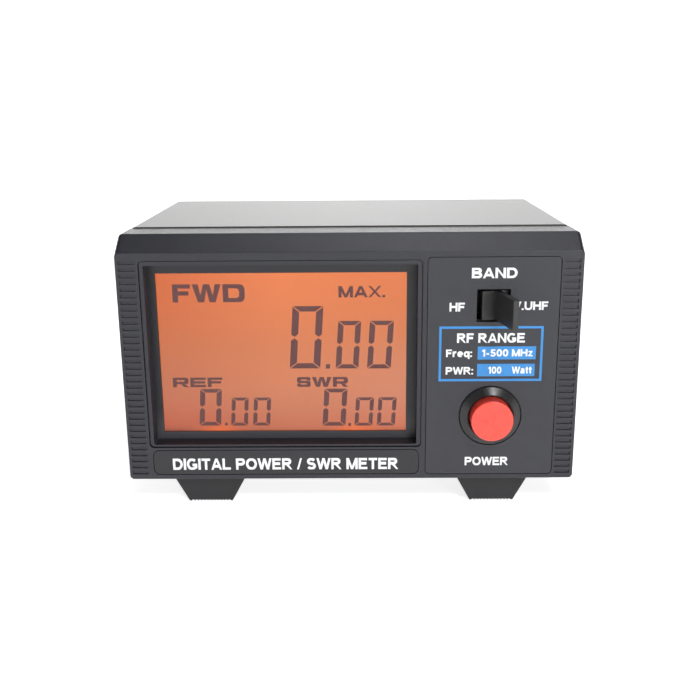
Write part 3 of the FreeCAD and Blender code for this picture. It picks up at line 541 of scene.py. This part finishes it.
def make_display(ink):
    """The dark segments and words just in front of the display glass."""
    face = depth_of("lcd_glass") - SEGMENT_T - SEGMENT_CLEAR
    figures = {
        "lcd_forward_value": [(-20.97, -8.93, 38.11, 60.35, 2.4, 1.9), (-5.02, 4.02, 38.04, 55.05, 1.95, 1.5),
                              (5.89, 15.27, 37.98, 55.06, 1.95, 1.5)],
        "lcd_reflected_value": [(-53.5, -45.0, 17.16, 30.75, 1.8, 1.35),
                                (-42.3, -35.7, 17.1, 27.5, 1.4, 1.05),
                                (-34.5, -27.8, 17.1, 27.5, 1.4, 1.05)],
        "lcd_swr_value": [(-9.9, -0.9, 16.9, 30.65, 1.8, 1.35), (1.4, 8.4, 16.9, 27.4, 1.4, 1.05),
                          (9.3, 16.35, 16.9, 27.4, 1.4, 1.05)],
    }
    dots = {
        "lcd_forward_value": (-8.5, -7.0, 38.0, 39.6), "lcd_reflected_value": (-44.5, -43.5, 17.15, 18.2),
        "lcd_swr_value": (-0.8, 0.2, 16.8, 17.9),
    }
    for name, digits in figures.items():
        loops = [slanted_box(*dots[name])]
        for *box, upright, level in digits:
            loops += zero_segments(*box, upright, level, SEGMENT_GAP + upright * SEGMENT_GAP_SHARE)
        finish_piece(sheet_mesh(loops, face, SEGMENT_T), name, "case", ink)
    words = {
        "lcd_word_forward": bar_word("FWD", -60.46, -35.72, 61.88, 68.16, 1.9, 1.45, 0.6,
                                     (0.82, 1.32, 1.0)),
        "lcd_word_reflected": bar_word("REF", -62.07, -44.68, 31.46, 34.95, 1.35, 0.85, 0.6,
                                       (1.0, 1.0, 0.95)),
        "lcd_word_swr": bar_word("SWR", -18.57, -0.74, 31.35, 34.95, 1.35, 0.85, 0.5, (0.9, 1.3, 1.0)),
    }
    for name, loops in words.items():
        finish_piece(sheet_mesh(loops, face, SEGMENT_T), name, "case", ink)
    finish_piece(text_mesh("MAX.", (-3.64, 12.14, 63.32, 67.25), face, SEGMENT_T), "lcd_word_max",
                 "case", ink)


# ---- Printed legends -------------------------------------------------------------------------------

# The ink is a little sunk into its plate, and white figures on a blue box stand out from the box.
INK_T, INK_SUNK, INK_OVER_BOX = 0.04, 0.004, 0.6
BORDER_LINE = 0.8


def make_legends(white, blue):
    """The words on the control plate and the name plate, and the range panel's blue line and boxes."""
    plate = depth_of("control_plate") - INK_T + INK_SUNK
    strip = depth_of("name_plate") - INK_T + INK_SUNK
    on_box = plate - INK_T * INK_OVER_BOX
    words = [
        ("legend_band", "BAND", (40.6, 55.5, 71.2, 74.7), plate),
        ("legend_hf", "HF", (33.44, 38.46, 59.99, 62.99), plate),
        ("legend_vuhf", "V.UHF", (54.6, 66.14, 60.36, 63.26), plate),
        ("legend_range", "RF RANGE", (36.2, 58.9, 49.16, 52.46), plate),
        ("legend_freq", "Freq:", (32.6, 41.26, 43.51, 46.84), plate),
        ("legend_pwr", "PWR:", (32.58, 41.79, 38.03, 40.69), plate),
        ("legend_power", "POWER", (39.83, 54.68, 4.94, 8.04), plate),
        ("legend_name", "DIGITAL POWER / SWR METER", (-62.02, 16.5, 3.61, 7.81), strip),
        ("legend_freq_value", "1-500 MHz", (44.6, 61.7, 44.35, 46.85), on_box),
        ("legend_pwr_value", "100    Watt", (46.9, 61.6, 38.3, 40.75), on_box),
    ]
    for name, text, box, y in words:
        finish_piece(text_mesh(text, box, y, INK_T), name, "case", white)
    x0, x1, z0, z1 = 30.13, 65.06, 35.63, 54.84
    line = BORDER_LINE
    border = [rectangle(x0, x1, z0, z1), rectangle(x0 + line, x1 - line, z0 + line, z1 - line)]
    blues = {
        "legend_border": border, "legend_freq_box": [rectangle(43.2, 62.8, 43.28, 47.84)],
        "legend_pwr_box": [rectangle(43.14, 62.59, 37.35, 41.73)],
    }
    for name, loops in blues.items():
        finish_piece(sheet_mesh(loops, plate, INK_T), name, "case", blue)


# ---- Rear sockets with their threads ---------------------------------------------------------------

SOCKET_X = (-56.0, -22.0, 22.0, 56.0)
SOCKET_Z = 46.0
FLANGE_HALF, FLANGE_T, FLANGE_R = 12.7, 3.0, 1.6
HOLE_OFFSET, HOLE_R = 9.15, 1.5
EDGE_BEVEL = 0.25
BARREL_L, BARREL_R, BORE_R = 12.7, 7.94, 6.2
# The barrel runs on through the panel by its tail. It stands just clear of the flange's hole.
BARREL_TAIL, BARREL_CLEAR, FLANGE_CLEAR = 4.0, 0.04, 0.06
MOUTH_CUT, MOUTH_CUT_L, BORE_CUT = 0.4, 0.45, 0.25
# A groove takes twice THREAD_SHARE of each pitch, and fades out near both ends of the barrel.
THREAD_PITCH, THREAD_DEPTH, THREAD_SHARE = 1.058, 0.55, 0.36
THREAD_START, THREAD_END, THREAD_FADE = 0.8, 0.35, 0.5
AROUND = 48
SAMPLES = 6


def barrel_mesh(x, flange_front):
    """A threaded barrel: a grid of radii round and along it, closed by its mouth and bore."""
    rows = int(BARREL_L / THREAD_PITCH * SAMPLES)
    shell = bmesh.new()
    rings = []
    for row in range(rows + 1):
        out = BARREL_L * row / rows
        ring = []
        for i in range(AROUND):
            a = 2 * math.pi * i / AROUND
            phase = (out / THREAD_PITCH - i / AROUND) % 1.0
            groove = max(0.0, 1.0 - abs(phase - 0.5) / THREAD_SHARE)
            fade = min(1.0, max(0.0, (out - THREAD_START) / THREAD_FADE),
                       max(0.0, (BARREL_L - THREAD_END - out) / THREAD_FADE))
            radius = BARREL_R - THREAD_DEPTH * groove * fade
            radius -= MOUTH_CUT * max(0.0, 1.0 - (BARREL_L - out) / MOUTH_CUT_L)
            ring.append(shell.verts.new(place(x + radius * math.cos(a), flange_front + out,
                                              SOCKET_Z + radius * math.sin(a))))
        rings.append(ring)
    tail, inside = -FLANGE_T - BARREL_TAIL, BARREL_R - BARREL_CLEAR
    for radius, out in ((BORE_R + BORE_CUT, BARREL_L), (BORE_R, BARREL_L - BORE_CUT), (BORE_R, tail),
                        (inside, tail), (inside, 0.0)):
        rings.append([shell.verts.new(place(px, flange_front + out, pz))
                      for px, pz in circle(x, SOCKET_Z, radius, AROUND)])
    for first, second in zip(rings, rings[1:] + rings[:1]):
        for i in range(AROUND):
            j = (i + 1) % AROUND
            shell.faces.new((first[i], first[j], second[j], second[i]))
    return close_shell(shell, bpy.data.meshes.new("barrel"))


def make_sockets(metal):
    """A flange and a threaded barrel for each rear socket; the barrel stands for the CAD shell."""
    flange_front = (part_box("socket_1_shell")[1].y - BEZEL_LOW.y) / MM - BARREL_L
    for number, x in enumerate(SOCKET_X, start=1):
        loops = [rounded(x - FLANGE_HALF, x + FLANGE_HALF, SOCKET_Z - FLANGE_HALF, SOCKET_Z + FLANGE_HALF,
                         (FLANGE_R,) * 4), circle(x, SOCKET_Z, BARREL_R - FLANGE_CLEAR, AROUND)]
        for dx in (-HOLE_OFFSET, HOLE_OFFSET):
            for dz in (-HOLE_OFFSET, HOLE_OFFSET):
                loops.append(circle(x + dx, SOCKET_Z + dz, HOLE_R))
        plate = sheet_mesh(loops, flange_front - FLANGE_T, FLANGE_T)
        flange = finish_piece(plate, "socket_%d_flange" % number, "case", metal, 30)
        bevel = flange.modifiers.new("edges", "BEVEL")
        bevel.width, bevel.segments, bevel.limit_method = EDGE_BEVEL * MM, 2, "ANGLE"
        barrel = finish_piece(barrel_mesh(x, flange_front), "socket_%d_barrel" % number, "case",
                              metal, 40)
        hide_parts("socket_%d_shell" % number)


# ---- Materials -------------------------------------------------------------------------------------

def window_material():
    """Clear moulded plastic with a slight haze."""
    material, tree, where = start_material("clear_window")
    haze = tree.span(tree.noise(where, 60.0), 0.35, 0.65, 0.03, 0.06)
    tree.principled({"Base Color": (1.0, 1.0, 1.0, 1.0), "Roughness": haze, "IOR": 1.45,
                     "Transmission Weight": 1.0})
    return material


# The display's glow at each of LCD_HEIGHTS, up its left side, middle and right side.
LCD_HEIGHTS = (15.4, 17.0, 24.0, 33.0, 49.0, 70.0)
LCD_COLUMNS = [
    [(0.31, 0.080, 0.045), (0.47, 0.100, 0.045), (0.52, 0.140, 0.070),
     (0.53, 0.158, 0.073), (0.58, 0.152, 0.052), (0.64, 0.137, 0.035)],
    [(0.44, 0.130, 0.065), (0.53, 0.150, 0.070), (0.58, 0.190, 0.092),
     (0.645, 0.210, 0.093), (0.69, 0.205, 0.077), (0.81, 0.215, 0.065)],
    [(0.49, 0.130, 0.065), (0.58, 0.165, 0.080), (0.60, 0.205, 0.115),
     (0.63, 0.225, 0.120), (0.66, 0.205, 0.080), (0.74, 0.195, 0.062)],
]
LAMP_COLOUR = (1.0, 0.170, 0.020, 1.0)
# Each lamp's middle (x, z) and how far it reaches across and up.
LCD_LAMPS = [(-46.5, 14.0, 13.5, 6.2), (1.5, 14.0, 14.5, 6.2)]
LCD_BOX = (-65.8, 19.5, 15.4, 72.2)


def lcd_material():
    """The lit display: orange, brighter at its top and over the two lamps along its bottom edge."""
    material, tree, where = start_material("lcd_orange_glow")
    x0, x1, z0, z1 = LCD_BOX
    low, high = place(x0, 0, z0), place(x1, 0, z1)
    across = tree.span(tree.axis(where, "X"), low.x, high.x)
    up = tree.span(tree.axis(where, "Z"), low.z, high.z)
    stops = [(z - z0) / (z1 - z0) for z in LCD_HEIGHTS]
    colour = None
    for number, column in enumerate(LCD_COLUMNS):
        glow = tree.ramp(up, list(zip(stops, column)), "CARDINAL")
        if colour is None:
            colour = glow
            continue
        colour = tree.mix(tree.span(across, (number - 1) / 2, number / 2), colour, glow)
    for x, z, wide, tall in LCD_LAMPS:
        centre = place(x, 0, z)
        scale = (1 / (wide * MM), 0.0, 1 / (tall * MM))
        offset = tuple(-c * s for c, s in zip(centre, scale))
        moved = tree.add("ShaderNodeMapping", {"Vector": where, "Location": offset, "Scale": scale})
        ball = tree.add("ShaderNodeTexGradient", {"Vector": moved.outputs["Vector"]},
                        gradient_type="QUADRATIC_SPHERE").outputs["Fac"]
        colour = tree.mix(ball, colour, LAMP_COLOUR)
    grain = tree.span(tree.noise(where, 2600.0, 1.0), NOISE_LOW, NOISE_HIGH, 0.97, 1.03)
    tree.principled({"Base Color": (0.05, 0.02, 0.012, 1.0), "Roughness": 0.5, "Specular IOR Level": 0.1,
                     "Emission Color": colour, "Emission Strength": grain})
    return material


# The board's pattern of square cells: how many a metre, and where in a cell its track and its pad begin.
BOARD_CELLS, TRACK_FROM, PAD_TO, TRACK_T = 180.0, 0.42, 0.07, 0.00003


def board_material():
    """Green solder mask over a pattern of copper tracks, with pale pads."""
    material, tree, where = start_material("circuit_board_green")
    cells = tree.add("ShaderNodeTexVoronoi", {"Vector": where, "Scale": BOARD_CELLS}, distance="CHEBYCHEV")
    tracks = tree.math("GREATER_THAN", cells.outputs["Distance"], TRACK_FROM)
    pads = tree.math("LESS_THAN", cells.outputs["Distance"], PAD_TO)
    mask = tree.ramp(tracks, [(0.0, (0.008, 0.075, 0.028)), (1.0, (0.015, 0.13, 0.045))])
    tree.principled({
        "Base Color": tree.mix(pads, mask, (0.55, 0.52, 0.46, 1.0)),
        "Roughness": tree.span(tree.noise(where, 400.0), NOISE_LOW, NOISE_HIGH, 0.28, 0.4),
        "Normal": tree.bump(tracks, TRACK_T)})
    return material


CONDUCTOR_WAVES, FIRST_CONDUCTOR, CONDUCTOR_DEPTH = 250.0, 1.2, 0.0002


def ribbon_material():
    """Grey flat cable with a red first conductor and a groove between conductors."""
    material, tree, where = start_material("ribbon_grey")
    wave = tree.add("ShaderNodeTexWave", {"Vector": where, "Scale": CONDUCTOR_WAVES}, bands_direction="X")
    red_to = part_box("ribbon_cable")[0].x + FIRST_CONDUCTOR * MM
    first = tree.math("LESS_THAN", tree.axis(where, "X"), red_to)
    tree.principled({
        "Base Color": tree.mix(first, (0.32, 0.32, 0.33, 1.0), (0.45, 0.04, 0.03, 1.0)),
        "Roughness": tree.span(tree.noise(where, 500.0), NOISE_LOW, NOISE_HIGH, 0.4, 0.5),
        "Normal": tree.bump(wave.outputs["Fac"], CONDUCTOR_DEPTH)})
    return material


# Painted light on the display frame, lighter towards its bottom, fades out between these heights.
PAINTED_LIGHT_LOW, PAINTED_LIGHT_HIGH = 13.0, 24.0


def make_materials():
    return {
        "bezel": surface("bezel_textured_black", (0.019, 0.0195, 0.0275), 0.38, grain=(2400.0, 0.00007),
                         spread=0.16, patch=900.0),
        "plate": surface("plate_satin_black", (0.026, 0.027, 0.035), 0.46, grain=(2200.0, 0.00003),
                         spread=0.14),
        "name": surface("name_plate_black", (0.017, 0.0165, 0.02), 0.48, grain=(2200.0, 0.00002), spread=0.1),
        "collar": surface("collar_black", (0.02, 0.02, 0.021), 0.3, grain=(3000.0, 0.000008), spread=0.1),
        "red": surface("button_red", (0.88, 0.07, 0.045), 0.3, grain=(3000.0, 0.000004), spread=0.03,
                       coat=0.3, coat_rough=0.15),
        "lever": surface("lever_black", (0.022, 0.022, 0.022), 0.42, grain=(2600.0, 0.00001), spread=0.1),
        # The display frame's lower band is painted lighter towards the bottom: painted light.
        "frame": surface("display_frame_black", (0.010, 0.010, 0.014), 0.36, grain=(2800.0, 0.000012),
                         painted_light=(place(0, 0, PAINTED_LIGHT_LOW).z, place(0, 0, PAINTED_LIGHT_HIGH).z, (0.05, 0.05, 0.058))),
        "window": window_material(),
        "lcd": lcd_material(),
        "backlight": surface("backlight_amber", (0.75, 0.3, 0.1), 0.4, grain=(1500.0, 0.00002),
                             emission=(0.5, 0.12, 0.03)),
        "zebra": surface("zebra_rubber", (0.05, 0.05, 0.055), 0.65, grain=(3000.0, 0.00002), spread=0.3),
        "board": board_material(),
        "chip": surface("chip_epoxy", (0.018, 0.018, 0.019), 0.5, grain=(3500.0, 0.00001), spread=0.15),
        "sleeve": surface("capacitor_sleeve", (0.012, 0.014, 0.035), 0.32, grain=(1200.0, 0.00001)),
        "switch": surface("switch_black", (0.02, 0.02, 0.022), 0.45, grain=(2600.0, 0.00001)),
        "ribbon": ribbon_material(),
        "pin": surface("pin_steel", (0.52, 0.52, 0.53), 0.28, 1.0, grain=(2500.0, 0.000004)),
        "terminal": surface("tinned_terminal", (0.66, 0.65, 0.62), 0.34, 1.0, grain=(2500.0, 0.00001)),
        "black_screw": surface("screw_black_zinc", (0.045, 0.045, 0.05), 0.33, 1.0, grain=(2500.0, 0.000008)),
        "steel_screw": surface("screw_nickel", (0.58, 0.57, 0.54), 0.24, 1.0, grain=(2500.0, 0.000004)),
        "standoff": surface("standoff_brass", (0.6, 0.45, 0.2), 0.3, 1.0, grain=(2500.0, 0.000004)),
        "sheet": surface("powder_coat_black", (0.04, 0.04, 0.04), 0.4, grain=(1500.0, 0.00003), spread=0.12),
        "cover": surface("powder_coat_cover", (0.064, 0.063, 0.057), 0.36, grain=(2400.0, 0.00004),
                         spread=0.05, patch=1300.0, rough_spread=0.03),
        "foot": surface("foot_black", (0.010, 0.010, 0.012), 0.6, grain=(2400.0, 0.00002), spread=0.15),
        "nickel": surface("socket_nickel", (0.63, 0.61, 0.57), 0.22, 1.0, grain=(1800.0, 0.000004),
                          spread=0.05),
        "insulator": surface("insulator_white", (0.68, 0.66, 0.6), 0.4, grain=(1800.0, 0.000008),
                             spread=0.05),
        "contact": surface("contact_gold", (0.83, 0.62, 0.27), 0.22, 1.0, grain=(2500.0, 0.000003)),
        "jack": surface("jack_black", (0.017, 0.017, 0.018), 0.4, grain=(2600.0, 0.00001)),
        "tinplate": surface("tinplate", (0.62, 0.62, 0.61), 0.3, 1.0, grain=(300.0, 0.00002),
                            brushed=(1.0, 12.0, 1.0)),
        "copper": surface("coupler_copper", (0.75, 0.36, 0.22), 0.3, 1.0, grain=(1500.0, 0.00001)),
        "ferrite": surface("ferrite_grey", (0.06, 0.06, 0.065), 0.6, grain=(1800.0, 0.00004), spread=0.2),
        "led": surface("led_amber", (0.9, 0.5, 0.2), 0.3, grain=(1500.0, 0.00001),
                       emission=(1.6, 0.5, 0.12)),
        "white_ink": surface("legend_white", (0.84, 0.85, 0.86), 0.5, grain=(3500.0, 0.000006), spread=0.03),
        "blue_ink": surface("legend_blue", (0.035, 0.25, 0.62), 0.5, grain=(3500.0, 0.000006), spread=0.05),
        "lcd_ink": surface("lcd_segment", (0.03, 0.012, 0.012), 0.5, grain=(2600.0, 0.000002), spread=0.05,
                           emission=(0.105, 0.032, 0.032), specular=0.1),
    }


FINISHES = {
    "front_bezel": "bezel", "control_plate": "plate", "name_plate": "name", "lcd_frame": "frame",
    "lcd_window": "window", "lcd_glass": "lcd", "lcd_backlight": "backlight", "zebra_strips": "zebra",
    "backlight_leds": "led", "display_board": "board", "switch_terminals": "terminal",
    "display_driver": "chip", "display_board_screws": "steel_screw", "button_collar": "collar",
    "power_button_cap": "red", "power_switch_plunger": "jack", "power_switch_body": "switch",
    "power_switch_spring": "pin", "band_lever": "lever", "band_lever_pin": "pin",
    "band_switch_body": "switch", "chassis": "sheet", "top_cover": "cover", "cover_screws": "black_screw",
    "foot_front_left": "foot", "foot_front_right": "foot", "foot_rear_left": "foot",
    "foot_rear_right": "foot", "foot_screws": "steel_screw", "bezel_screws": "steel_screw",
    "socket_screws": "steel_screw", "dc_jack_body": "jack", "dc_jack_pin": "terminal",
    "main_board": "board", "microcontroller": "chip", "voltage_regulator": "chip",
    "electrolytic_capacitors": "sleeve", "board_headers": "jack", "ribbon_cable": "ribbon",
    "board_standoffs": "standoff", "board_screws": "steel_screw", "coupler_tray_hf": "tinplate",
    "coupler_line_hf": "copper", "coupler_toroid_hf": "ferrite", "coupler_tray_uhf": "tinplate",
    "coupler_line_uhf": "copper", "coupler_pickup_uhf": "board", "coupler_lids": "tinplate",
}
for socket in range(1, 5):
    FINISHES["socket_%d_shell" % socket] = "nickel"
    FINISHES["socket_%d_insulator" % socket] = "insulator"
    FINISHES["socket_%d_contact" % socket] = "contact"


def dress_nodes(materials):
    for name, node in NODES.items():
        node.data.materials.clear()
        node.data.materials.append(materials[FINISHES[name]])


# ---- Floor and light -------------------------------------------------------------------------------

# Soft lights as glows on the sky: the way to each one's middle, how narrow it is, and its strength. A
# ring of light all round the horizon is as pale as the floor that it meets.
AMBIENT = 0.02
HORIZON_GLOW, HORIZON_NARROW = 1.5, 40.0
GLOWS = [
    ((0.0, 1.0, 0.12), 8, 0.5),
    ((-0.5, 1.0, 0.12), 20, 1.95),
    ((0.5, 1.0, 0.12), 20, 2.15),
    ((0.0, 1.0, 0.12), 40, 2.05),
    ((-0.02, 0.14, 0.97), 250, 2.2),
    ((0.08, 0.14, 0.97), 250, 19.5),
    ((0.45, -0.87, 0.08), 40, 9.8),
    ((0.25, -0.62, 0.74), 200, 36.0),
]


def make_world():
    world = bpy.data.worlds.new("studio")
    SCENE.world = world
    tree = Tree(world)
    where = tree.add("ShaderNodeTexCoord").outputs["Generated"]
    total = AMBIENT
    for direction, narrow, strength in GLOWS:
        towards = Vector(direction).normalized()
        facing = tree.add("ShaderNodeVectorMath", {0: where, 1: towards}, operation="DOT_PRODUCT")
        fall = tree.math("POWER", tree.math("MAXIMUM", facing.outputs["Value"], 0.0), narrow)
        total = tree.math("ADD", total, tree.math("MULTIPLY", fall, strength))
    height = tree.axis(where, "Z")
    level = tree.math("SUBTRACT", 1.0, tree.math("MULTIPLY", height, height))
    ring = tree.math("MULTIPLY", tree.math("POWER", level, HORIZON_NARROW), HORIZON_GLOW)
    background = tree.add("ShaderNodeBackground", {"Color": (1.0, 1.0, 1.0, 1.0),
                                                   "Strength": tree.math("ADD", total, ring)})
    tree.add("ShaderNodeOutputWorld", {"Surface": background.outputs[0]})


FLOOR_SIZE, FLOOR_DROP = 12.0, 0.02
FLOOR_GLOW = 0.8


def make_floor():
    shell = bmesh.new()
    bmesh.ops.create_grid(shell, x_segments=8, y_segments=8, size=FLOOR_SIZE)
    mesh = bpy.data.meshes.new("floor")
    shell.to_mesh(mesh)
    shell.free()
    floor = bpy.data.objects.new("floor", mesh)
    SCENE.collection.objects.link(floor)
    floor.location.z = CAD_BOX[0].z - FLOOR_DROP * MM
    mesh.materials.append(surface("floor_white", (0.86, 0.86, 0.86), 0.8, spread=0.004, specular=0.0,
                                  rough_spread=0.05, emission=(FLOOR_GLOW,) * 3))


make_camera()
made = make_materials()
dress_nodes(made)
make_display(made["lcd_ink"])
make_legends(made["white_ink"], made["blue_ink"])
make_sockets(made["nickel"])
make_floor()
make_world()
SCENE.view_settings.view_transform = "Standard"
